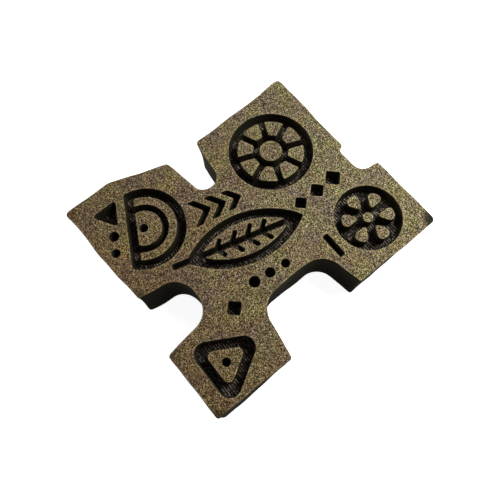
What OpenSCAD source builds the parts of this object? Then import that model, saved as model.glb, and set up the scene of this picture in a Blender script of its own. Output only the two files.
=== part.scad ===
// Foam printing stamp: a thick backing foam with a printing foam stuck on it.
// The engraving goes right through the printing foam, so every raised shape is a piece of its own.
// The frame is in millimetres, with +Z up through the printing face. The slab lies flat on its back,
// and the origin is at the middle of its underside. West, south, east and north are -X, -Y, +X and +Y.

/* [Slab] */
// Width of the slab from west to east
slab_w = 88.9; // [87:0.1:98]
// Length of the slab from south to north
slab_l = 100; // [97:0.1:112]
// Thickness of the backing foam
backing_t = 13.4; // [6:0.1:25]
// Thickness of the adhesive film between the two foams
film_t = 0.1; // [0.05:0.05:0.3]
// Thickness of the printing foam, which is the depth of the engraving
face_t = 5.5; // [3:0.1:8]
// Radius of the slab's outer corners
corner_r = 1.6; // [0.4:0.1:4]

/* [Bites] */
// Width of the south bite at its mouth
south_bite_w = 21; // [17:0.5:23]
// Depth of the south bite, from the slab's box
south_bite_d = 19; // [10:0.5:22]
// Width of the east bite at its mouth
east_bite_w = 34; // [24:0.5:36]
// Depth of the east bite, from the slab's box
east_bite_d = 20.5; // [10:0.5:22]
// Width of the north bite at its mouth
north_bite_w = 13; // [10:0.5:16]
// Depth of the north bite, from the slab's box
north_bite_d = 8; // [6:0.5:11]
// Width of the west bite at its mouth
west_bite_w = 14; // [11:0.5:18]
// Depth of the west bite, from the slab's box
west_bite_d = 25; // [14:0.5:26]
// Angle by which each side of a bite opens towards its mouth
bite_flare = 9; // [3:1:12]
// Radius in the bottom corners of the bites
bite_r = 8; // [3:0.5:12]
// Radius on the tips at the mouths of the bites
tip_r = 0.7; // [0.3:0.1:2]

/* [Engraving] */
// Width of the engraved groove around the raised shapes
groove_w = 3.2; // [2.2:0.1:3.6]
// Width of the narrow grooves between neighbouring raised shapes
slit_w = 2.2; // [1.4:0.1:2.8]

/* [Rosette] */
// Radius of the round recess that holds the rosette
rosette_r = 15.5; // [14:0.1:16.5]
// Radius of the rosette's hub
hub_r = 4.2; // [3:0.1:5.4]
// Number of segments round the hub
segment_count = 8; // [6:1:9]

/* [Arch] */
// Radius of the recess that holds the arch
arch_r = 15; // [14:0.1:15.6]
// Width of the raised arch band
arch_band_w = 3; // [2:0.1:3.6]
// Depth of the recess below the arch's centre
arch_sill = 5.6; // [5:0.1:6.6]
// Radius of the pocket in the arch's core
arch_eye_r = 1.6; // [0.8:0.1:1.9]

/* [Leaf] */
// Length of the recess that holds the leaf
leaf_l = 44; // [38:0.5:46]
// Width of the recess that holds the leaf
leaf_w = 18.5; // [16:0.5:19.5]
// Number of veins cut into each half of the leaf
vein_count = 4; // [2:1:5]
// Width of a vein
vein_w = 1.5; // [0.9:0.1:1.8]
// Length of the stem's channel
stem_l = 5; // [3:0.5:7]

/* [Flower] */
// Radius of the round recess that holds the flower
flower_r = 12; // [11.6:0.1:12.4]
// Radius of the flower's eye
flower_eye_r = 2; // [1.4:0.1:2.4]
// Width of a petal at its outer end
petal_w = 7.4; // [5.4:0.1:7.8]
// Width of the groove around the petals
petal_groove_w = 2.5; // [1.6:0.1:3]
// Number of petals
petal_count = 6; // [4:1:6]

/* [Triangle] */
// Distance from the middle of the triangle's recess to each of its flats
triangle_in_r = 7.4; // [6.6:0.1:7.8]
// Radius of the recess's corners
triangle_corner_r = 3.8; // [1.5:0.1:4.2]
// Radius of the pocket in the raised triangle
triangle_eye_r = 1.5; // [0.8:0.1:1.7]

/* [Hidden] */
$fn = 96;
arc_step = 6;
far = 200;
half_w = slab_w / 2;
half_l = slab_l / 2;
film_z = backing_t;
face_z = backing_t + film_t;

backing_colour = "#1c1b17";
film_colour = "#26241f";
face_colour = "#8a7a58";

// Middle of each bite along its side, to the east or north of the slab's middle
south_bite_at = 8;
east_bite_at = -2.5;
north_bite_at = 4.5;
west_bite_at = -3;
// How far parts of the outline stand in from the slab's box: the north-east lobe's east edge, the
// north-west lobe's north edge and its corner, both tips of the west bite, the west tip of the south
// bite, and the south-west corner
north_east_in = 4.4;
north_west_in = 5.4;
north_west_corner_in = 5.6;
west_tips_in = 7.4;
south_tip_in = 2.8;
south_west_corner_in = 0.4;
// Distance from the slab's south edge to the shoulder where its west edge starts to slope in
shoulder_at = 19;

// Each side of the slab: where its bite is along it, the bite's mouth and depth, and how far the slab's
// edge stands in from its box just before and just after the bite. The sides run anticlockwise.
SOUTH = 0;
EAST = 1;
NORTH = 2;
WEST = 3;
sides = [
    [south_bite_at, south_bite_w, south_bite_d, south_tip_in, 0],
    [east_bite_at, east_bite_w, east_bite_d, 0, north_east_in],
    [-north_bite_at, north_bite_w, north_bite_d, 0, north_west_in],
    [-west_bite_at, west_bite_w, west_bite_d, west_tips_in, west_tips_in]
];
// How far each corner of the slab stands in from its box, as [x, y], from the south-east one on
corner_in = [[0, 0], [north_east_in, 0], [north_west_corner_in, north_west_in], [0, south_west_corner_in]];

// Width of the field between each motif's recess and the edges of its lobe. side is to the east or west
// of the recess, and end to the north or south.
rosette_rim = 6.3;
flower_side_rim = 3.5;
flower_end_rim = 5.6;
triangle_side_rim = 5.2;
triangle_end_rim = 6;
arch_side_rim = 7.2;
arch_end_rim = 4.2;

// Middles of the motifs
rosette_at = [
    -half_w + north_west_corner_in + rosette_rim + rosette_r,
    half_l - north_west_in - rosette_rim - rosette_r
];
flower_at = [half_w - north_east_in - flower_side_rim - flower_r, half_l - flower_end_rim - flower_r];
triangle_at = [half_w - triangle_side_rim - triangle_in_r, -half_l + triangle_end_rim + triangle_in_r];
arch_at = [-half_w + arch_side_rim + arch_r, -half_l + arch_end_rim + arch_r];
leaf_x = 3.2;
leaf_y = -5.6;
leaf_at = [leaf_x, leaf_y];
arch_turn = -28;
leaf_turn = 74;

// Each outline corner is [x, y, radius]. A point of one side is given by its distance along the side
// and its depth inwards from the slab's box.
function on_side(side, along, depth) =
    side == SOUTH ? [along, -half_l + depth] :
    side == EAST ? [half_w - depth, along] :
    side == NORTH ? [-along, half_l - depth] :
    [-half_w + depth, -along];
function side_corner(side, along, depth, r) = [each on_side(side, along, depth), r];
function side_outline(side) =
    let (
        at = sides[side][0],
        mouth = sides[side][1],
        depth = sides[side][2],
        mouth_in = (sides[side][3] + sides[side][4]) / 2,
        floor_w = mouth - 2 * (depth - mouth_in) * tan(bite_flare)
    )
    [
        side_corner(side, at - mouth / 2, sides[side][3], tip_r),
        side_corner(side, at - floor_w / 2, depth, bite_r),
        side_corner(side, at + floor_w / 2, depth, bite_r),
        side_corner(side, at + mouth / 2, sides[side][4], tip_r)
    ];
function slab_corner(side) =
    let (x = half_w - corner_in[side][0], y = half_l - corner_in[side][1])
    [side == SOUTH || side == EAST ? x : -x, side == SOUTH || side == WEST ? -y : y, corner_r];
shoulder = side_corner(WEST, half_l - shoulder_at, 0, bite_r);
slab_outline = [
    for (side = [SOUTH : WEST])
        each concat(side_outline(side), side == WEST ? [shoulder] : [], [slab_corner(side)])
];

// The points of a polygon whose corners, each [x, y, radius], are rounded as far as their sides allow
function flat(p) = [p.x, p.y];
function unit(v) = v / norm(v);
function turned(v, angle) = [v.x * cos(angle) - v.y * sin(angle), v.x * sin(angle) + v.y * cos(angle)];
function corner_arc(before, corner, after) =
    let (
        to_before = flat(before) - flat(corner),
        to_after = flat(after) - flat(corner),
        half_angle = acos(unit(to_before) * unit(to_after)) / 2,
        r = min(corner.z, tan(half_angle) * min(norm(to_before), norm(to_after)) / 2),
        centre = flat(corner) + unit(unit(to_before) + unit(to_after)) * r / sin(half_angle),
        start = flat(corner) + unit(to_before) * r / tan(half_angle) - centre,
        sweep = (180 - 2 * half_angle) * (cross(-to_before, to_after) > 0 ? 1 : -1),
        steps = max(1, ceil(abs(sweep) / arc_step))
    )
    [for (k = [0 : steps]) centre + turned(start, sweep * k / steps)];
function rounded(corners) =
    [
        for (k = [0 : len(corners) - 1])
            each corner_arc(
                corners[(k + len(corners) - 1) % len(corners)],
                corners[k],
                corners[(k + 1) % len(corners)]
            )
    ];

// Shapes that more than one motif uses
module ring_2d(outer_r, inner_r) {
    difference() {
        circle(r = outer_r);
        circle(r = inner_r);
    }
}

// A triangle with one corner on +Y, given by the distance from its middle to its flats
module triangle_2d(in_r, r) {
    polygon(rounded([for (angle = [90, 210, 330]) [2 * in_r * cos(angle), 2 * in_r * sin(angle), r]]));
}

// A lens along X: what two equal circles share. inset draws it smaller all round by that distance.
function lens_r(length, width) = (length * length + width * width) / (4 * width);
function lens_half_w(length, width, inset, x) =
    let (r = lens_r(length, width))
    sqrt((r - inset) * (r - inset) - x * x) - r + width / 2;
module lens_2d(length, width, inset = 0) {
    r = lens_r(length, width);
    intersection() {
        translate([0, r - width / 2]) circle(r = r - inset);
        translate([0, -r + width / 2]) circle(r = r - inset);
    }
}

// A bent bar with its point on +Y
module chevron_2d(width, thickness) {
    rise = width / 2;
    polygon([
        [0, 0], [width / 2, -rise], [width / 2, -rise - thickness],
        [0, -thickness], [-width / 2, -rise - thickness], [-width / 2, -rise]
    ]);
}

// A square that stands on one corner, given by the distance from its middle to its corners
module diamond_2d(reach) {
    polygon([[reach, 0], [0, reach], [-reach, 0], [0, -reach]]);
}

// The half plane below y = level
module below_2d(level) {
    translate([-far, level - far]) square([2 * far, far]);
}

// The rosette
segment_in_r = hub_r + slit_w;
segment_out_r = rosette_r - groove_w;
segment_step = 360 / segment_count;
module rosette_place(angle = 0) {
    translate(rosette_at) rotate(angle) children();
}
module rosette_hub_2d() {
    rosette_place() circle(r = hub_r);
}
module rosette_segment_2d(number) {
    apex = slit_w / 2 / sin(segment_step / 2);
    flank = far * [cos(segment_step / 2), sin(segment_step / 2)];
    rosette_place((number - 1) * segment_step) intersection() {
        ring_2d(segment_out_r, segment_in_r);
        polygon([[apex, 0], [apex + flank.x, flank.y], [apex + flank.x, -flank.y]]);
    }
}

// The arch
arch_feet = -arch_sill + groove_w;
arch_band_r = arch_r - groove_w;
arch_core_r = arch_band_r - arch_band_w - slit_w;
module arch_place() {
    translate(arch_at) rotate(arch_turn) children();
}
module arch_recess_2d() {
    arch_place() difference() {
        circle(r = arch_r);
        below_2d(-arch_sill);
    }
}
module arch_band_2d() {
    arch_place() difference() {
        ring_2d(arch_band_r, arch_band_r - arch_band_w);
        below_2d(arch_feet);
    }
}
module arch_core_2d() {
    arch_place() difference() {
        circle(r = arch_core_r);
        circle(r = arch_eye_r);
        below_2d(arch_feet);
    }
}

// The leaf, whose halves lie on each side of its rib. half is 1 for the west half and -1 for the east.
vein_slant = 52;
vein_share = 0.66;
module leaf_place() {
    translate(leaf_at) rotate(leaf_turn) children();
}
module leaf_recess_2d() {
    leaf_place() {
        lens_2d(leaf_l, leaf_w);
        translate([-leaf_l / 2 - stem_l, -slit_w / 2]) square([stem_l + groove_w, slit_w]);
    }
}
module leaf_half_2d(half) {
    leaf_place() mirror([0, half > 0 ? 0 : 1]) difference() {
        lens_2d(leaf_l, leaf_w, groove_w);
        below_2d(slit_w / 2);
        vein_cuts_2d();
    }
}
module vein_cuts_2d() {
    vein_pitch = (leaf_l - 5 * groove_w) / (vein_count + 1);
    for (k = [1 : vein_count]) {
        x = (k - (vein_count + 1) / 2) * vein_pitch - groove_w / 2;
        reach = vein_share * lens_half_w(leaf_l, leaf_w, groove_w, x);
        translate([x, slit_w / 2]) rotate(vein_slant)
            translate([-vein_w, -vein_w / 2]) square([reach + vein_w, vein_w]);
    }
}

// The flower, whose petals are triangles with round corners
petal_in_r = flower_eye_r + slit_w / 2;
petal_out_r = flower_r - petal_groove_w;
petal_round = 0.24;
module flower_place(angle = 0) {
    translate(flower_at) rotate(angle) children();
}
module flower_petal_2d(number) {
    flower_place((number - 1) * 360 / petal_count) polygon(rounded([
        [petal_in_r, 0, tip_r],
        [petal_out_r, -petal_w / 2, petal_w * petal_round],
        [petal_out_r, petal_w / 2, petal_w * petal_round]
    ]));
}
module flower_eye_2d() {
    flower_place() circle(r = flower_eye_r);
}

// The triangle
module triangle_island_2d() {
    translate(triangle_at) difference() {
        triangle_2d(triangle_in_r - groove_w, triangle_corner_r / 2);
        circle(r = triangle_eye_r);
    }
}

// Everything that the engraving takes out of the printing foam around the motifs
module recesses_2d() {
    rosette_place() circle(r = rosette_r);
    flower_place() circle(r = flower_r);
    translate(triangle_at) triangle_2d(triangle_in_r, triangle_corner_r);
    arch_recess_2d();
    leaf_recess_2d();
}

// Small pockets in the printing field, each placed between the shapes or bites that it lies between
chevron_w = 8.6;
chevron_t = 2.8;
chevron_pitch = 5.8;
chevron_gap = 4;
dot_r = 1.8;
dot_pitch = 6.2;
diamond_reach = 3.1;
diamond_pitch = 7.6;
diamond_gap = 5.5;
bar_w = 9.4;
bar_share = 0.264;
corner_triangle_r = 2.9;
shrink = 0.12;

// Chevrons between the west bite and the leaf, in line with the leaf. The row starts below the rosette
// and has as many as fit above the arch.
module chevrons_2d() {
    x = (-half_w + west_bite_d + leaf_at.x - leaf_w / 2) / 2;
    top = rosette_at.y - rosette_r - chevron_gap;
    room = top - chevron_w / 2 - chevron_t - (arch_at.y + arch_r);
    count = floor(room / chevron_pitch) + 1;
    for (k = [0 : 1 : count - 1])
        translate([x, leaf_at.y]) rotate(leaf_turn - 90)
            translate([0, (top - leaf_at.y) / cos(leaf_turn - 90) - k * chevron_pitch])
                chevron_2d(chevron_w * (1 + (k - 1) * shrink), chevron_t);
}

// Three dots between the leaf and the east bite
module dots_2d() {
    x = (half_w - east_bite_d + leaf_at.x + leaf_w / 2) / 2;
    for (k = [-1 : 1])
        translate([x, leaf_at.y]) rotate((leaf_turn - 90) / 2) translate([0, (k - 0.2) * dot_pitch])
            circle(r = dot_r * (1 - k * shrink));
}

// Diamonds between the rosette and the flower, as many as fit between the north bite and the leaf's tip,
// and one between the south and east bites
module diamonds_2d() {
    x = (rosette_at.x + rosette_r + flower_at.x - flower_r) / 2;
    top = half_l - north_bite_d - diamond_gap - diamond_reach * (1 + shrink);
    room = top - slit_w - (leaf_at.y + leaf_l / 2 * sin(leaf_turn));
    count = floor(room / diamond_pitch) + 1;
    for (k = [0 : 1 : count - 1])
        translate([x, top - k * diamond_pitch]) diamond_2d(diamond_reach * (1 + (1 - k) * shrink));
    translate((flat(side_outline(SOUTH)[2]) + flat(side_outline(EAST)[1])) / 2) diamond_2d(diamond_reach);
}

// A bar halfway between the flower and the side of the east bite
module flower_bar_2d() {
    bite_y = east_bite_at + east_bite_w / 2 - (half_w - north_east_in - flower_at.x) * tan(bite_flare);
    gap = flower_at.y - flower_r - bite_y;
    translate([flower_at.x, bite_y + gap / 2]) square([bar_w, bar_share * gap], center = true);
}

module pockets_2d() {
    chevrons_2d();
    dots_2d();
    diamonds_2d();
    flower_bar_2d();
    arch_place() {
        translate([-arch_r / 2, -arch_sill - groove_w - corner_triangle_r]) rotate(180)
            triangle_2d(corner_triangle_r, tip_r);
        for (k = [0 : 1])
            translate([k * dot_pitch + slit_w / 2, -arch_sill - groove_w - dot_r])
                circle(r = dot_r * (1 - k * shrink));
    }
}

module slab_2d() {
    polygon(rounded(slab_outline));
}
module printing_field_2d() {
    difference() {
        slab_2d();
        recesses_2d();
        pockets_2d();
    }
}

// Every raised shape that stands in a recess of the field
module raised_shapes_2d() {
    rosette_hub_2d();
    for (k = [1 : segment_count]) rosette_segment_2d(k);
    arch_band_2d();
    arch_core_2d();
    for (half = [-1, 1]) leaf_half_2d(half);
    flower_eye_2d();
    for (k = [1 : petal_count]) flower_petal_2d(k);
    triangle_island_2d();
}

// A piece of the printing foam, from its drawing
module printing_piece() {
    color(face_colour) translate([0, 0, face_z]) linear_extrude(face_t) children();
}

module backing_block() {
    color(backing_colour) linear_extrude(backing_t) slab_2d();
}
module bond_film() {
    color(film_colour) translate([0, 0, film_z]) linear_extrude(film_t) {
        printing_field_2d();
        raised_shapes_2d();
    }
}
module printing_field() {
    printing_piece() printing_field_2d();
}
module rosette_hub() {
    printing_piece() rosette_hub_2d();
}
module rosette_segment(number) {
    printing_piece() rosette_segment_2d(number);
}
module triangle_island() {
    printing_piece() triangle_island_2d();
}
module arch_band() {
    printing_piece() arch_band_2d();
}
module arch_core() {
    printing_piece() arch_core_2d();
}
module leaf_half(half) {
    printing_piece() leaf_half_2d(half);
}
module flower_eye() {
    printing_piece() flower_eye_2d();
}
module flower_petal(number) {
    printing_piece() flower_petal_2d(number);
}

backing_block();
bond_film();
printing_field();
rosette_hub();
for (k = [1 : segment_count]) rosette_segment(k);
arch_band();
arch_core();
leaf_half(1);  // leaf_half_west
leaf_half(-1);  // leaf_half_east
flower_eye();
for (k = [1 : petal_count]) flower_petal(k);
triangle_island();
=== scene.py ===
import math

import bpy
import numpy as np
from mathutils import Matrix, Vector, kdtree, noise
from mathutils.geometry import delaunay_2d_cdt


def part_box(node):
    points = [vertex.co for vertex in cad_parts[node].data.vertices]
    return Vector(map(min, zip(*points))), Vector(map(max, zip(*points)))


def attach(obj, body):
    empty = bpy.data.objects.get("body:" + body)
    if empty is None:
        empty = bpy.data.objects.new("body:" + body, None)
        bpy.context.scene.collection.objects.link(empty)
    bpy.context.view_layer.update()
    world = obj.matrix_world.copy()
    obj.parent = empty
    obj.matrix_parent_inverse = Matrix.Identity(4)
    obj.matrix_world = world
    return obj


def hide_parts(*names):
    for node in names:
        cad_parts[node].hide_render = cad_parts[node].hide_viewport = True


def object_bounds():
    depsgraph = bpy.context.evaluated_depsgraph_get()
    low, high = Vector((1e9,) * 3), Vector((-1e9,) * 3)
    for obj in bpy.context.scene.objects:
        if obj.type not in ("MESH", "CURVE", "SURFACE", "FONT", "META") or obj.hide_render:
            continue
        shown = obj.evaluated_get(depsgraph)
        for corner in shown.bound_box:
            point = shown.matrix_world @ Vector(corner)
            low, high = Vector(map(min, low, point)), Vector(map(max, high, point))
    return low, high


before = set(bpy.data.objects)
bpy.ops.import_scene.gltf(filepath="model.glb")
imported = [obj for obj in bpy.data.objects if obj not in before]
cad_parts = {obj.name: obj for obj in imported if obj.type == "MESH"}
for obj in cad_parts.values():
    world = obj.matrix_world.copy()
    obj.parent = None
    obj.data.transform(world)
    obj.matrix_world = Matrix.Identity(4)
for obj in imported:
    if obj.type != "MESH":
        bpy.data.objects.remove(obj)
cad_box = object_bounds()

MM = 0.001
SLAB_TOP = cad_box[1].z
BACKING_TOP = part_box("backing_block")[1].z
FILM_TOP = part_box("bond_film")[1].z
ENGRAVED_DEPTH = SLAB_TOP - FILM_TOP

# What counts as a face that looks up and as one at a given height, where the CAD part's outlines are read
UPWARD = 0.9
SAME_HEIGHT = 0.01 * MM
# Point spacing along the outlines, across the printing face and up the walls. The face's rows lie closer, so that
# its triangles have about equal sides, and its points stay clear of the outlines.
OUTLINE_PITCH = 0.42 * MM
SKIN_PITCH = 0.55 * MM
SKIN_ROW_PITCH = 0.866 * SKIN_PITCH
SKIN_CLEARANCE = 0.55 * SKIN_PITCH
WALL_PITCH = 0.6 * MM
# The smallest angle between a face and its neighbour that stays sharp
SHARP_ANGLE = math.radians(50)
# A turn of the outline that is kept as a corner, and how many times its points are eased into each other
CORNER_TURN = math.radians(20)
CORNER_EASINGS = 2
# The share of the room beside an outline that it may move into, and the room where nothing is near it
ROOM_USED = 0.7
OPEN_ROOM = 1.0
# How many points the longer sums take at once, so that they stay small
INSIDE_BATCH = 100
ROOM_BATCH = 400

# Rounding of the cut edges, and its steps
EDGE_ROUND = 0.24 * MM
EDGE_STEPS = 3
# How a hot wire leaves the outer walls: how far they draw in at mid-height, how far they lean at most and the
# draw of where they lean which way, how high their slow waves and small dents are, and a trim all over
BOW = 0.45 * MM
LEAN = 0.7 * MM
LEAN_SEED = 141.45
WAVE = 0.36 * MM
DENT = 0.03 * MM
TRIM = 0.04 * MM
# How far the foot of an engraved wall stands out from its top, the step that each pass leaves there, and how
# uneven the wall is
FOOT = 0.16 * MM
PASS_STEP = 0.05 * MM
UNEVEN = 0.05 * MM
# The printing face's slow swell and its fine pits, and how far down the walls they fade out
SWELL = 0.05 * MM
PITS = 0.05 * MM
SKIN_FADE = 1 * MM

# How far the scorch at a tip reaches and how deep it sags there, and how ragged and how sudden its end is. At
# its heart it is past full, so that it stays full for a little way.
SCORCH_REACH = 2.9 * MM
SCORCH_SAG = 0.35 * MM
SCORCH_RAGGED = 0.35
SCORCH_FALL = 3
SCORCH_HEART = 1.2
# How badly tips are scorched: their mean, how far they go from it, and the draw of which tips have it
SCORCH_MEAN = 0.25
SCORCH_SPREAD = 1.2
SCORCH_SEED = 47.5
# A tip is where the outline turns by this angle over this many points to each side
TIP_TURN = math.radians(55)
TIP_STEPS = 3
# How grey the cut walls are between 0 and 1, partly ash and partly painted light that makes lit stretches pale:
# their mean, how far stretches and specks of them go from it, and the draw of where they are grey and where
# they are black
ASH_AND_PAINTED_LIGHT_MEAN = 0.38
ASH_AND_PAINTED_LIGHT_STRETCHES = 0.8
ASH_SPECKS = 0.07
ASH_AND_PAINTED_LIGHT_SEED = 256.04

# The engraver's passes run along X: their spacing, their depth, how far they wander as a share of the spacing,
# how narrow a ridge between two of them is, and its length before it breaks
PASS_PITCH = 0.92 * MM
PASS_DEPTH = 0.34 * MM
PASS_WANDER = 0.22
RIDGE_NARROWING = 1.9
RIDGE_LENGTH = 1.6 * MM
# The share of its height at which a ridge stands, how far that goes up and down along it, the share that its
# lumps add, and the draw that sets each ridge's breaks apart from its neighbours'
RIDGE_STANDS = 0.55
RIDGE_CHANGE = 0.9
RIDGE_LUMPS = 0.3
RIDGE_SEED = 7.31
# Spacing of the floor's points along and across the passes, how far those stay from the foot of each wall, and
# how far the floor reaches in under it
FLOOR_STEP_X = 0.3 * MM
FLOOR_STEP_Y = 0.185 * MM
FLOOR_CLEARANCE = 0.2 * MM
UNDERCUT = 0.06 * MM

# The table lies this far under the stamp, so that the two surfaces don't meet, and reaches this far each way
TABLE_GAP = 0.02 * MM
TABLE_REACH = 3


def wobble(x, y, z, size, seed=0.0):
    """Smooth noise from about -1 to 1 whose lumps are about size across."""
    return noise.noise(Vector((x / size + seed, y / size - 2 * seed, z / size + 3 * seed)))


def outlines(node, height):
    """The closed outlines of the node's upward face at that height, with the foam on their left. Corners
    that agree to a micrometre are one."""
    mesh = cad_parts[node].data
    numbers = {}
    number = [numbers.setdefault(tuple(round(c, 6) for c in v.co), len(numbers)) for v in mesh.vertices]
    points = np.array(list(numbers))
    edges = {}
    for face in mesh.polygons:
        if face.normal.z > UPWARD and abs(face.center.z - height) < SAME_HEIGHT:
            ring = [number[v] for v in face.vertices]
            for a, b in zip(ring, ring[1:] + ring[:1]):
                if a in edges.get(b, ()):
                    edges[b].remove(a)
                else:
                    edges.setdefault(a, []).append(b)
    after = {a: bs[0] for a, bs in edges.items() if bs}
    loops = []
    while after:
        start = here = next(iter(after))
        loop = []
        while here in after:
            loop.append(here)
            here = after.pop(here)
        assert here == start, f"{node}: an outline is open"
        loops.append(points[loop][:, :2])
    return sorted(loops, key=lambda loop: -abs(area(loop)))


def area(loop):
    """The area inside the loop, negative where it runs clockwise."""
    x, y = loop.T
    return 0.5 * np.sum(x * np.roll(y, -1) - y * np.roll(x, -1))


def turns(loop, steps=0):
    """How far the loop turns to the left from that many steps before each point to as many after it."""
    ahead = np.roll(loop, -1, 0) - loop
    heading = np.arctan2(ahead[:, 1], ahead[:, 0])
    return (np.roll(heading, -steps) - np.roll(heading, steps + 1) + math.pi) % (2 * math.pi) - math.pi


def evenly(loop, pitch):
    """The loop with evenly spaced points, its real corners kept and then eased as a cutter leaves them."""
    corners = list(np.nonzero(np.abs(turns(loop)) > CORNER_TURN)[0]) or [0]
    points = []
    for k, first in enumerate(corners):
        last = corners[(k + 1) % len(corners)]
        count = (last - first) % len(loop) or len(loop)
        stretch = loop[np.arange(first, first + count + 1) % len(loop)]
        along = np.r_[0, np.cumsum(np.linalg.norm(np.diff(stretch, axis=0), axis=1))]
        steps = max(2, round(along[-1] / pitch))
        at = along[-1] * np.arange(steps) / steps
        points.append(np.c_[np.interp(at, along, stretch[:, 0]), np.interp(at, along, stretch[:, 1])])
    points = np.vstack(points)
    for _ in range(CORNER_EASINGS):
        points = (np.roll(points, 1, 0) + 2 * points + np.roll(points, -1, 0)) / 4
    return points


def inward(loop):
    """Unit vectors across the loop, towards the foam on its left."""
    along = np.roll(loop, -1, 0) - np.roll(loop, 1, 0)
    along /= np.linalg.norm(along, axis=1)[:, None]
    return np.c_[-along[:, 1], along[:, 0]]


def inside(points, loops):
    """True for each point that an odd number of the loops holds. It goes band by band along Y."""
    a = np.vstack(loops)
    b = np.vstack([np.roll(loop, -1, 0) for loop in loops])
    slope = (b[:, 0] - a[:, 0]) / np.where(b[:, 1] == a[:, 1], 1, b[:, 1] - a[:, 1])
    low, high = np.minimum(a[:, 1], b[:, 1]), np.maximum(a[:, 1], b[:, 1])
    odd = np.zeros(len(points), bool)
    order = np.argsort(points[:, 1])
    for some in np.array_split(order, len(points) // INSIDE_BATCH + 1):
        if len(some):
            x, y = points[some, :1], points[some, 1:]
            near = (low <= y.max()) & (high >= y.min())
            crossed = (a[near, 1] > y) != (b[near, 1] > y)
            odd[some] = (crossed & (x < a[near, 0] + (y - a[near, 1]) * slope[near])).sum(1) % 2 == 1
    return odd


def clear_of(points, others, distance):
    """The points that lie further than distance from every one of the others."""
    tree = kdtree.KDTree(len(others))
    for k, (x, y) in enumerate(others):
        tree.insert((x, y, 0), k)
    tree.balance()
    return points[[tree.find((x, y, 0))[2] > distance for x, y in points]]


def grid(loops, step_x, step_y, stagger):
    """Evenly spread points over the loops' box, with every other row shifted where they are staggered."""
    low, high = np.vstack(loops).min(0), np.vstack(loops).max(0)
    xs = np.arange(low[0] + step_x / 2, high[0], step_x)
    ys = np.arange(low[1] + step_y / 2, high[1], step_y)
    x, y = np.meshgrid(xs, ys)
    x = x + stagger * step_x * (np.arange(len(ys)) % 2)[:, None]
    return np.c_[x.ravel(), y.ravel()]


def spread(loops, extra, area_of=None):
    """Triangles over the area inside the loops, as numbers of the loops' points and then the extra ones."""
    flat = np.vstack(loops + [extra])
    edges, start = [], 0
    for loop in loops:
        edges += [(start + k, start + (k + 1) % len(loop)) for k in range(len(loop))]
        start += len(loop)
    _, _, faces, origin, _, _ = delaunay_2d_cdt([Vector(p) for p in flat / MM], edges, [], 0, 1e-5)
    triangles = np.array([[origin[v][0] for v in face] for face in faces])
    triangles = triangles[inside(flat[triangles].mean(1), area_of or loops)]
    a, b, c = (flat[triangles[:, k]] for k in range(3))
    left = (b[:, 0] - a[:, 0]) * (c[:, 1] - a[:, 1]) - (b[:, 1] - a[:, 1]) * (c[:, 0] - a[:, 0]) > 0
    return np.where(left[:, None], triangles, triangles[:, ::-1])


def outer_inset(x, y, z):
    """How far an outer wall stands in: the bow that a hot wire leaves, its lean, slow waves and small dents."""
    bow = BOW * math.sin(math.pi * z / SLAB_TOP)
    lean = LEAN * wobble(x, y, 0, size=21 * MM, seed=LEAN_SEED) * (2 * z / SLAB_TOP - 1)
    waves = WAVE * wobble(x, y, 0.3 * z, size=8 * MM)
    dents = DENT * wobble(x, y, z, size=1.6 * MM, seed=1.7)
    return bow + lean + waves + dents + TRIM


def engraved_inset(x, y, z):
    """How far an engraved wall stands in: it leans out to its foot, and each pass leaves a small step."""
    depth = (SLAB_TOP - z) / ENGRAVED_DEPTH
    step = PASS_STEP * math.cos(2 * math.pi * y / PASS_PITCH)
    return depth * (step - FOOT) + UNEVEN * wobble(x, y, z, size=2.2 * MM, seed=4.1)


def room(points, across, others):
    """The radius of the largest circle that touches each point, lies on the side that across points to
    and holds none of the others: the room before a moved outline would run into itself or another."""
    found = []
    batches = len(points) // ROOM_BATCH + 1
    for some, way in zip(np.array_split(points, batches), np.array_split(across, batches)):
        to = others[None] - some[:, None]
        ahead = (to * way[:, None]).sum(2)
        radius = np.where(ahead > 1e-9, (to ** 2).sum(2) / np.maximum(2 * ahead, 1e-12), OPEN_ROOM)
        found.append(radius.min(1))
    return np.concatenate(found)


class Outline:
    """One outline of a piece, with the way into the foam, the room on both sides and its wall's inset."""

    def __init__(self, loop, everything, inset):
        self.loop = loop
        self.across = inward(loop)
        self.room_in = ROOM_USED * room(loop, self.across, everything)
        self.room_out = ROOM_USED * room(loop, -self.across, everything)
        self.inset = inset

    def ring(self, z, rounding=0.0):
        """The outline at height z, moved into the foam by its wall's inset and by the edge's rounding."""
        moved = np.array([self.inset(x, y, z) for x, y in self.loop]) + rounding
        moved = np.clip(moved, -self.room_out, self.room_in)
        return np.c_[self.loop + self.across * moved[:, None], np.full(len(self.loop), z)]


def wall_levels(bottom, top, round_bottom=False):
    """Heights of a wall's rings from the top down, each with how far the edge's rounding brings it in."""
    arc = [math.pi / 2 * k / EDGE_STEPS for k in range(EDGE_STEPS + 1)]
    levels = [(top - EDGE_ROUND * (1 - math.cos(a)), EDGE_ROUND * (1 - math.sin(a))) for a in arc]
    low = bottom + (EDGE_ROUND if round_bottom else 0)
    steps = max(1, round((levels[-1][0] - low) / WALL_PITCH))
    levels += [(levels[-1][0] + (low - levels[-1][0]) * k / steps, 0) for k in range(1, steps + 1)]
    if round_bottom:
        levels += [(bottom + EDGE_ROUND * (1 - math.sin(a)), EDGE_ROUND * (1 - math.cos(a))) for a in arc[1:]]
    return levels


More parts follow.
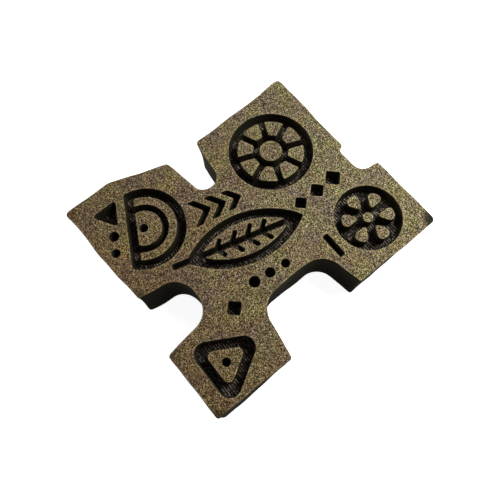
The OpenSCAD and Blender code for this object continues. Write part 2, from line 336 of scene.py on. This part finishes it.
def body_mesh(name, rings, top, bottom, materials, slots, shades=()):
    """A closed piece. rings holds, for each outline, its rings from the top down as N x 3 arrays. top and
    bottom are (extra points, triangles) over the first and the last rings. slots gives the materials'
    numbers: for the top, for the rounded edge, for each outline's wall and for the bottom. shades gives
    named numbers for its points, worked out from all of them."""
    points, faces, which = [], [], []
    count = 0
    firsts, lasts = [], []
    for stack, wall in zip(rings, slots["walls"]):
        n = len(stack[0])
        firsts += range(count, count + n)
        lasts += range(count + n * (len(stack) - 1), count + n * len(stack))
        for level in range(len(stack) - 1):
            upper = count + n * level + np.arange(n)
            lower = upper + n
            quads = np.c_[lower, np.roll(lower, -1), np.roll(upper, -1), upper]
            faces += quads.tolist()
            which += [wall if level else slots["edge"]] * n
        points += stack
        count += n * len(stack)
    for (extra, triangles), rim, slot, flip in ((top, firsts, slots["top"], 1), (bottom, lasts, slots["bottom"], -1)):
        numbers = np.array(rim + list(range(count, count + len(extra))))
        faces += numbers[triangles][:, ::flip].tolist()
        which += [slot] * len(triangles)
        points.append(extra)
        count += len(extra)
    points = np.vstack([p for p in points if len(p)])
    mesh = bpy.data.meshes.new(name)
    mesh.from_pydata(points.tolist(), [], faces)
    for shade, of_points in shades:
        mesh.attributes.new(shade, "FLOAT", "POINT").data.foreach_set("value", of_points(points))
    for material in materials:
        mesh.materials.append(material)
    mesh.polygons.foreach_set("material_index", which)
    mesh.validate()
    mesh.shade_smooth()
    mesh.set_sharp_from_angle(angle=SHARP_ANGLE)
    piece = bpy.data.objects.new(name, mesh)
    bpy.context.scene.collection.objects.link(piece)
    return piece


def linear(code):
    """An sRGB hex colour as the linear colour that a shader takes."""
    parts = [int(code[k:k + 2], 16) / 255 for k in (1, 3, 5)]
    return tuple(p / 12.92 if p <= 0.04045 else ((p + 0.055) / 1.055) ** 2.4 for p in parts) + (1.0,)


def add(tree, kind, settings=None, stops=(), **inputs):
    """Add a node. An input is named with _ for its spaces, or with _ and its number, and takes a value or
    the socket that feeds it. A colour ramp also takes its stops in order, each a position and a hex colour."""
    node = tree.nodes.new(kind)
    for key, value in (settings or {}).items():
        setattr(node, key, value)
    for k, (position, code) in enumerate(stops):
        stop = node.color_ramp.elements[k] if k < 2 else node.color_ramp.elements.new(position)
        stop.position, stop.color = position, linear(code)
    for key, value in inputs.items():
        socket = node.inputs[int(key[1:])] if key[1:].isdigit() else node.inputs[key.replace("_", " ")]
        if isinstance(value, bpy.types.NodeSocket):
            tree.links.new(value, socket)
        else:
            socket.default_value = value
    return node


def new_material(name):
    """An empty material and its node tree."""
    material = bpy.data.materials.new(name)
    material.use_nodes = True
    material.node_tree.nodes.clear()
    return material, material.node_tree


def flecked_skin():
    """Expanded EVA foam whose skin is moulded over tan, olive and dark granules: dry and dull, with a
    fleck in every granule, painted shade that makes it darker and browner towards its south end, patches
    of dull mauve and of paler olive, a paler line painted along cut edges as a highlight, and scorched tips.
    Real granules are near 0.15 mm. They are drawn 0.22 mm across, as coarse as they need to be to show. The
    skin's dimples are 0.3 mm across, its patches 7 mm, and the sheet's tone changes over 24 mm."""
    material, tree = new_material("eva_foam_flecked_skin")
    place = add(tree, "ShaderNodeTexCoord").outputs["Object"]
    granule = add(tree, "ShaderNodeTexVoronoi", Vector=place, Scale=1 / (0.22 * MM), Randomness=1.0)
    pick = add(tree, "ShaderNodeSeparateColor", Color=granule.outputs["Color"])
    fleck = add(tree, "ShaderNodeValToRGB", Fac=pick.outputs["Red"], stops=(
        (0.0, "#0b0906"), (0.22, "#2d271b"), (0.43, "#554a35"), (0.6, "#726544"), (0.81, "#ab9a6f"),
        (1.0, "#f4e7bb")))
    tint = add(tree, "ShaderNodeValToRGB", Fac=pick.outputs["Green"], stops=(
        (0.0, "#ffdab4"), (0.3, "#fff1ff"), (0.7, "#f4ffda"), (1.0, "#cde3ff")))
    tinted = add(tree, "ShaderNodeMix", {"data_type": "RGBA", "blend_type": "MULTIPLY"}, _0=1.0,
                 _6=fleck.outputs["Color"], _7=tint.outputs["Color"])
    # Painted shade: the skin's colour drifts darker and browner towards the south end, where less light falls, and a
    # noise over 24 mm adds a tone that differs at random
    length = add(tree, "ShaderNodeSeparateXYZ", Vector=place)
    sheet = add(tree, "ShaderNodeTexNoise", Vector=place, Scale=1 / (24 * MM), Detail=2.0)
    painted_shade_drift = add(tree, "ShaderNodeMath", {"operation": "MULTIPLY_ADD"}, _0=length.outputs["Y"], _1=1 / (110 * MM),
                _2=sheet.outputs["Fac"])
    tone_and_painted_shade = add(tree, "ShaderNodeValToRGB", Fac=painted_shade_drift.outputs["Value"], stops=(
        (0.1, "#ffebdf"), (0.5, "#fff9fa"), (0.9, "#fcfdfd")))
    toned_with_painted_shade = add(tree, "ShaderNodeMix", {"data_type": "RGBA", "blend_type": "MULTIPLY"}, _0=1.0,
                _6=tinted.outputs[2], _7=tone_and_painted_shade.outputs["Color"])
    patch = add(tree, "ShaderNodeTexNoise", Vector=place, Scale=1 / (7 * MM), Detail=3.0)
    batch = add(tree, "ShaderNodeValToRGB", Fac=patch.outputs["Fac"], stops=(
        (0.31, "#dbd5f5"), (0.5, "#f3f3f8"), (0.69, "#f5ffea")))
    patched = add(tree, "ShaderNodeMix", {"data_type": "RGBA", "blend_type": "MULTIPLY"}, _0=1.0,
                  _6=toned_with_painted_shade.outputs[2], _7=batch.outputs["Color"])
    # Painted highlight: a paler line is screened onto the skin along every cut edge, where the rounded edge would
    # catch the light
    edge = add(tree, "ShaderNodeAttribute", {"attribute_name": "edge"})
    painted_edge_highlight = add(tree, "ShaderNodeMix", {"data_type": "RGBA", "blend_type": "SCREEN"}, _0=edge.outputs["Fac"],
                 _6=patched.outputs[2], _7=linear("#4d4630"))
    scorch = add(tree, "ShaderNodeAttribute", {"attribute_name": "scorch"})
    scorched = add(tree, "ShaderNodeMix", {"data_type": "RGBA", "blend_type": "MULTIPLY"}, _0=scorch.outputs["Fac"],
                   _6=painted_edge_highlight.outputs[2], _7=linear("#53524c"))
    fine = add(tree, "ShaderNodeTexNoise", Vector=place, Scale=1 / (0.3 * MM), Detail=3.0, Roughness=0.7)
    pitted = add(tree, "ShaderNodeBump", Height=fine.outputs["Fac"], Distance=0.1 * MM)
    shader = add(tree, "ShaderNodeBsdfPrincipled", Base_Color=scorched.outputs[2], IOR=1.48, Roughness=0.75,
                 Specular_IOR_Level=0.15, Normal=pitted.outputs["Normal"])
    add(tree, "ShaderNodeOutputMaterial", Surface=shader.outputs["BSDF"])
    return material


def cut_wall():
    """Expanded EVA foam cut through with a hot wire: its cells are melted shut into a dull charcoal wall
    with fine pits, brown-black in some stretches and grey in others, where the grey is partly ash and partly
    painted light that makes lit stretches pale. Pits are 0.45 mm across."""
    material, tree = new_material("eva_foam_hot_cut_wall")
    place = add(tree, "ShaderNodeTexCoord").outputs["Object"]
    # Partly painted light: the wall's greyness makes some stretches pale, as a lit flank looks, on top of their ash
    # and char
    ash_and_painted_light = add(tree, "ShaderNodeAttribute", {"attribute_name": "paleness"})
    char_ash_and_painted_light = add(tree, "ShaderNodeValToRGB", Fac=ash_and_painted_light.outputs["Fac"], stops=(
        (0.0, "#1b170f"), (0.25, "#241f16"), (0.7, "#56534b"), (1.0, "#67645b")))
    cells = add(tree, "ShaderNodeTexNoise", Vector=place, Scale=1 / (0.45 * MM), Detail=2.0, Roughness=0.6)
    pits = add(tree, "ShaderNodeMapRange", Value=cells.outputs["Fac"], From_Min=0.3, From_Max=0.45, To_Min=0.45,
               To_Max=0.0)
    pitted = add(tree, "ShaderNodeMix", {"data_type": "RGBA"}, _0=pits.outputs["Result"],
                 _6=char_ash_and_painted_light.outputs["Color"], _7=linear("#191712"))
    melted = add(tree, "ShaderNodeBump", Height=cells.outputs["Fac"], Distance=0.05 * MM)
    shader = add(tree, "ShaderNodeBsdfPrincipled", Base_Color=pitted.outputs[2], IOR=1.48, Roughness=0.9,
                 Specular_IOR_Level=0.04, Normal=melted.outputs["Normal"])
    add(tree, "ShaderNodeOutputMaterial", Surface=shader.outputs["BSDF"])
    return material


def engraved_wall():
    """Expanded EVA foam burnt through by a hot engraver: a sooty black wall without any shine, a shade
    browner near its top edge where less heat reached. Its lines lie one above another, 0.5 mm apart."""
    material, tree = new_material("eva_foam_charred_wall")
    place = add(tree, "ShaderNodeTexCoord").outputs["Object"]
    travel = add(tree, "ShaderNodeMapping", Vector=place, Scale=(1 / (3 * MM), 1 / (3 * MM), 1 / (0.5 * MM)))
    lines = add(tree, "ShaderNodeTexNoise", Vector=travel.outputs["Vector"], Scale=1.0, Detail=2.0)
    soot = add(tree, "ShaderNodeValToRGB", Fac=lines.outputs["Fac"], stops=((0.3, "#24211a"), (0.7, "#383328")))
    height = add(tree, "ShaderNodeSeparateXYZ", Vector=place)
    near_top = add(tree, "ShaderNodeMapRange", Value=height.outputs["Z"], From_Min=SLAB_TOP - 0.9 * MM,
                   From_Max=SLAB_TOP, To_Min=0.0, To_Max=0.5)
    browned = add(tree, "ShaderNodeMix", {"data_type": "RGBA"}, _0=near_top.outputs["Result"],
                  _6=soot.outputs["Color"], _7=linear("#3b3223"))
    shader = add(tree, "ShaderNodeBsdfPrincipled", Base_Color=browned.outputs[2], IOR=1.48, Roughness=0.95,
                 Specular_IOR_Level=0.03)
    add(tree, "ShaderNodeOutputMaterial", Surface=shader.outputs["BSDF"])
    return material


def engraved_floor():
    """Expanded EVA foam eaten away by passes of a hot engraver: charred in the troughs, and torn into
    rows of grey-brown beads along the ridges that stand between two passes, with some granules laid open.
    Beads are 0.7 mm long and granules, drawn as coarse as they need to be to show, 0.28 mm across."""
    material, tree = new_material("eva_foam_engraved_floor")
    place = add(tree, "ShaderNodeTexCoord").outputs["Object"]
    height = add(tree, "ShaderNodeSeparateXYZ", Vector=place)
    crest = add(tree, "ShaderNodeMapRange", Value=height.outputs["Z"], From_Min=BACKING_TOP - 0.95 * PASS_DEPTH,
                From_Max=BACKING_TOP - 0.2 * PASS_DEPTH, To_Min=0.15, To_Max=1.0)
    travel = add(tree, "ShaderNodeMapping", Vector=place, Scale=(1 / (0.7 * MM), 1 / (0.4 * MM), 1 / (0.4 * MM)))
    beads = add(tree, "ShaderNodeTexNoise", Vector=travel.outputs["Vector"], Scale=1.0, Detail=2.0, Roughness=0.6)
    torn = add(tree, "ShaderNodeMapRange", Value=beads.outputs["Fac"], From_Min=0.36, From_Max=0.68, To_Min=0.1,
               To_Max=1.0)
    paleness = add(tree, "ShaderNodeMath", {"operation": "MULTIPLY"}, _0=crest.outputs["Result"],
              _1=torn.outputs["Result"])
    colour = add(tree, "ShaderNodeValToRGB", Fac=paleness.outputs["Value"], stops=(
        (0.0, "#1b1916"), (0.15, "#3d3934"), (0.4, "#b5aba2"), (1.0, "#fffaf6")))
    granule = add(tree, "ShaderNodeTexVoronoi", Vector=place, Scale=1 / (0.28 * MM), Randomness=1.0)
    pick = add(tree, "ShaderNodeSeparateColor", Color=granule.outputs["Color"])
    fleck = add(tree, "ShaderNodeValToRGB", Fac=pick.outputs["Red"], stops=(
        (0.0, "#705a58"), (0.3, "#a39696"), (0.7, "#e6dccd"), (1.0, "#fffff0")))
    flecked = add(tree, "ShaderNodeMix", {"data_type": "RGBA", "blend_type": "MULTIPLY"}, _0=1.0,
                  _6=colour.outputs["Color"], _7=fleck.outputs["Color"])
    rough = add(tree, "ShaderNodeBump", Height=beads.outputs["Fac"], Distance=0.2 * MM)
    shader = add(tree, "ShaderNodeBsdfPrincipled", Base_Color=flecked.outputs[2], IOR=1.48, Roughness=0.8,
                 Specular_IOR_Level=0.1, Normal=rough.outputs["Normal"])
    add(tree, "ShaderNodeOutputMaterial", Surface=shader.outputs["BSDF"])
    return material


def film_edge():
    """Pressure-sensitive acrylic adhesive film, rolled out thin: a dull dark line at its edge, with dust
    caught in it about every 0.8 mm."""
    material, tree = new_material("acrylic_adhesive_film")
    place = add(tree, "ShaderNodeTexCoord").outputs["Object"]
    specks = add(tree, "ShaderNodeTexNoise", Vector=place, Scale=1 / (0.8 * MM), Detail=2.0)
    colour = add(tree, "ShaderNodeValToRGB", Fac=specks.outputs["Fac"], stops=((0.3, "#17160f"), (0.7, "#25231b")))
    shader = add(tree, "ShaderNodeBsdfPrincipled", Base_Color=colour.outputs["Color"], IOR=1.47, Roughness=0.8,
                 Specular_IOR_Level=0.05)
    add(tree, "ShaderNodeOutputMaterial", Surface=shader.outputs["BSDF"])
    return material


SKIN, WALL, CHAR, FLOOR, FILM = flecked_skin(), cut_wall(), engraved_wall(), engraved_floor(), film_edge()


def keep(piece, node):
    """Let the piece stand for its CAD node."""
    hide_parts(node)
    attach(piece, "root")


# The tips of the slab's lobes, and how badly the cutter scorched each as it turned there
slab_loop = evenly(outlines("backing_block", BACKING_TOP)[0], OUTLINE_PITCH)
TIPS = slab_loop[turns(slab_loop, TIP_STEPS) > TIP_TURN]
SCORCHED = np.array([max(0.0, SCORCH_MEAN + SCORCH_SPREAD * wobble(x, y, 0, size=17 * MM, seed=SCORCH_SEED))
                     for x, y in TIPS])


def scorch(points):
    """How scorched each point is, from 0 to 1: most at a scorched tip, with a ragged end."""
    away = np.linalg.norm(points[:, None, :2] - TIPS[None], axis=2) / SCORCH_REACH
    ragged = np.array([1 + SCORCH_RAGGED * wobble(x, y, 0, size=0.9 * MM, seed=9.4) for x, y in points[:, :2]])
    return np.clip((SCORCH_HEART * SCORCHED * np.exp(-(away * ragged[:, None]) ** SCORCH_FALL)).max(1), 0, 1)


def paleness(points):
    """How pale the wall is at each point, from 0 to 1: partly ash, as the wire went faster or slower, and
    partly painted light that makes lit stretches pale.
    """
    stretches = np.array([ASH_AND_PAINTED_LIGHT_STRETCHES * wobble(x, y, 0.4 * z, size=26 * MM, seed=ASH_AND_PAINTED_LIGHT_SEED) for x, y, z in points])
    specks = np.array([ASH_SPECKS * wobble(x, y, z, size=3 * MM, seed=6.6) for x, y, z in points])
    return np.clip(ASH_AND_PAINTED_LIGHT_MEAN + stretches + specks, 0, 1)


def skin_depth(points):
    """How far the printing face lies below its highest level: a slow swell, a fine pitting and the sag of
    scorched tips."""
    swell = np.array([0.5 + 0.5 * wobble(x, y, 0, size=13 * MM) for x, y in points[:, :2]])
    pits = np.array([0.5 + 0.5 * wobble(x, y, 0, size=1.1 * MM, seed=5.3) for x, y in points[:, :2]])
    return SWELL * swell + PITS * pits + SCORCH_SAG * scorch(points)


# Every piece of the printing foam. Its top follows the skin's swell and pits, which fade out down its walls.
# Its points on the outlines carry "edge", so that a paler line is painted on the skin there as a highlight.
face_nodes = sorted(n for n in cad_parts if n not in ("backing_block", "bond_film"))
NO_POINTS, NOTHING_MORE = np.zeros((0, 2)), np.zeros((0, 3))
drawn = {}
for node in face_nodes:
    loops = [evenly(loop, OUTLINE_PITCH) for loop in outlines(node, SLAB_TOP)]
    insets = [outer_inset if node == "printing_field" and k == 0 else engraved_inset for k in range(len(loops))]
    drawn[node] = [Outline(loop, np.vstack(loops), inset) for loop, inset in zip(loops, insets)]

    levels = wall_levels(FILM_TOP, SLAB_TOP)
    stacks = [[outline.ring(z, rounding) for z, rounding in levels] for outline in drawn[node]]
    for stack in stacks:
        for ring, (z, rounding) in zip(stack, levels):
            share = max(0.0, 1 - (SLAB_TOP - z) / SKIN_FADE)
            ring[:, 2] -= share * skin_depth(ring)
    rims = [stack[0][:, :2] for stack in stacks]
    extra = grid(rims, SKIN_PITCH, SKIN_ROW_PITCH, stagger=0.5)
    extra = extra[inside(extra, rims)]
    if len(extra):
        extra = clear_of(extra, np.vstack(rims), SKIN_CLEARANCE)
    top = spread(rims, extra)
    extra = np.c_[extra, SLAB_TOP - skin_depth(extra)]
    feet = [stack[-1][:, :2] for stack in stacks]
    bottom = spread(feet, NO_POINTS)
    on_walls = sum(stack.size for group in stacks for stack in group) // 3
    walls = [1 if outline.inset is outer_inset else 2 for outline in drawn[node]]
    # Its walls carry a greyness that is partly painted light
    piece = body_mesh(node + "_foam", stacks, (extra, top), (NOTHING_MORE, bottom), [SKIN, WALL, CHAR],
                      {"top": 0, "edge": 0, "walls": walls, "bottom": 1},
                      [("edge", lambda points: np.arange(len(points)) < on_walls), ("scorch", scorch),
                       ("paleness", paleness)])
    keep(piece, node)

# The adhesive film, flush under each of those pieces
everything_drawn = [outline for node in face_nodes for outline in drawn[node]]
film_stacks = [[outline.ring(z) for z in (FILM_TOP, BACKING_TOP)] for outline in everything_drawn]
film_rims = [stack[0][:, :2] for stack in film_stacks]
film_cap = spread(film_rims, NO_POINTS)
film = body_mesh("bond_film_sheet", film_stacks, (NOTHING_MORE, film_cap), (NOTHING_MORE, film_cap), [FILM],
                 {"top": 0, "edge": 0, "walls": [0] * len(film_stacks), "bottom": 0})
keep(film, "bond_film")


def pass_height(x, y):
    """How far the engraved floor lies below the top of the backing, between ridges that break and wander."""
    row = y / PASS_PITCH + PASS_WANDER * wobble(x, y, 0, size=5 * MM, seed=2.9)
    crest = (0.5 + 0.5 * math.cos(2 * math.pi * row)) ** RIDGE_NARROWING
    number = math.floor(row + 0.5)
    standing = RIDGE_STANDS + RIDGE_CHANGE * noise.noise(Vector((x / RIDGE_LENGTH, RIDGE_SEED * number, 0.5)))
    lumps = RIDGE_LUMPS * wobble(x, y, 0, size=0.7 * MM, seed=8.2)
    return PASS_DEPTH * (1 - min(1.0, max(0.0, crest * standing + lumps)))


# The backing, whose top is the floor of every recess and meets its walls at a plain edge. The feet of the walls
# around the recesses keep the passes off what is stuck down.
slab_outline = Outline(slab_loop, slab_loop, outer_inset)
levels = [(BACKING_TOP, 0.0)] + wall_levels(0.0, BACKING_TOP, round_bottom=True)[EDGE_STEPS + 1:]
stack = [slab_outline.ring(z, rounding) for z, rounding in levels]
rim = stack[0][:, :2]
engraved = [outline for outline in everything_drawn if outline.inset is engraved_inset]
stuck = [outline.ring(BACKING_TOP, UNDERCUT)[:, :2] for outline in engraved]
feet = [outline.ring(BACKING_TOP)[:, :2] for outline in engraved]
passes = grid([rim], FLOOR_STEP_X, FLOOR_STEP_Y, stagger=0.5)
passes = passes[inside(passes, [rim])]
passes = passes[~inside(passes, [rim] + feet)]
passes = clear_of(passes, np.vstack(feet), FLOOR_CLEARANCE)
passes = np.vstack(feet + [passes])
top = spread([rim] + stuck, passes, area_of=[rim])
heights = [BACKING_TOP] * sum(map(len, stuck)) + [BACKING_TOP - pass_height(x, y) for x, y in passes]
extra = np.c_[np.vstack(stuck + [passes]), heights]
bottom = spread([stack[-1][:, :2]], NO_POINTS)
# Its walls carry the same greyness, partly painted light
backing = body_mesh("backing_block_foam", [stack], (extra, top), (NOTHING_MORE, bottom), [FLOOR, WALL],
                    {"top": 0, "edge": 1, "walls": [1], "bottom": 1}, [("paleness", paleness)])
keep(backing, "backing_block")


# The stage: a white table that keeps the stamp's shadow, and the studio's soft light
def plainly_seen(tree):
    """1 for rays from the camera and for mirrored and passing ones, which see plain white, and 0 for others."""
    ray = add(tree, "ShaderNodeLightPath")
    mirrored = add(tree, "ShaderNodeMath", {"operation": "MAXIMUM"}, _0=ray.outputs["Is Glossy Ray"],
                   _1=ray.outputs["Is Transmission Ray"])
    seen = add(tree, "ShaderNodeMath", {"operation": "MAXIMUM"}, _0=ray.outputs["Is Camera Ray"],
               _1=mirrored.outputs["Value"])
    return seen.outputs["Value"]


def table_top():
    """White paper-faced board: the camera, and reflections in the object, see it as plain white that
    still keeps the object's shadow. Other light sees a greyer board, so that little of it comes back up."""
    material, tree = new_material("white_paper_board")
    seen = plainly_seen(tree)
    lit = add(tree, "ShaderNodeBsdfDiffuse", Color=linear("#eeeeee"))
    white = add(tree, "ShaderNodeEmission", Color=linear("#ffffff"), Strength=0.92)
    paper = add(tree, "ShaderNodeAddShader", _0=lit.outputs["BSDF"], _1=white.outputs["Emission"])
    board = add(tree, "ShaderNodeBsdfDiffuse", Color=linear("#5a5a5a"))
    both = add(tree, "ShaderNodeMixShader", Fac=seen, _1=board.outputs["BSDF"], _2=paper.outputs["Shader"])
    add(tree, "ShaderNodeOutputMaterial", Surface=both.outputs["Shader"])
    return material


table_mesh = bpy.data.meshes.new("table")
corners = [(x * TABLE_REACH, y * TABLE_REACH, -TABLE_GAP) for x, y in ((-1, -1), (1, -1), (1, 1), (-1, 1))]
table_mesh.from_pydata(corners, [], [(0, 1, 2, 3)])
table_mesh.materials.append(table_top())
table = bpy.data.objects.new("table", table_mesh)
bpy.context.scene.collection.objects.link(table)

# The camera and reflections see the light all round as plain white
world = bpy.data.worlds.new("studio")
world.use_nodes = True
tree = world.node_tree
tree.nodes.clear()
strength = add(tree, "ShaderNodeMapRange", Value=plainly_seen(tree), To_Min=0.08, To_Max=1.0)
sky = add(tree, "ShaderNodeBackground", Color=linear("#ffffff"), Strength=strength.outputs["Result"])
add(tree, "ShaderNodeOutputWorld", Surface=sky.outputs["Background"])
bpy.context.scene.world = world


def lamp(name, place, aim, size, watts, code):
    """A square soft box at that place, turned to its aim."""
    light = bpy.data.lights.new(name, "AREA")
    light.size = size
    light.energy = watts
    light.color = linear(code)[:3]
    holder = bpy.data.objects.new(name, light)
    holder.location = place
    holder.rotation_euler = (Vector(aim) - Vector(place)).to_track_quat("-Z", "Y").to_euler()
    bpy.context.scene.collection.objects.link(holder)


# The key stands close beyond the slab's north side, and the fill far off its west side
lamp("key", place=(0.035, 0.115, 0.165), aim=(0.02, 0.03, 0.01), size=0.1, watts=0.385, code="#f9fdfb")
lamp("fill", place=(-0.55, -0.22, 0.27), aim=(0, 0, 0), size=0.3, watts=1.5, code="#fff4f1")

# The camera that took the photograph, fitted to the slab's straight edges: it stands 148 mm above the
# printing face, over the slab's south-east side
PLACE = Vector((0.0428, -0.0330, 0.1666))
RIGHT = Vector((0.6316, 0.7751, -0.0148))
UP = Vector((-0.7408, 0.6091, 0.2835))
back = RIGHT.cross(UP).normalized()
right = UP.cross(back).normalized()
up = back.cross(right)
camera_data = bpy.data.cameras.new("camera")
camera_data.sensor_width = 36
camera_data.lens = 32.26
camera_data.clip_start = 0.01
camera = bpy.data.objects.new("camera", camera_data)
camera.matrix_world = Matrix.Translation(PLACE) @ Matrix((right, up, back)).transposed().to_4x4()
bpy.context.scene.collection.objects.link(camera)
bpy.context.scene.camera = camera
bpy.context.scene.view_settings.view_transform = "Standard"
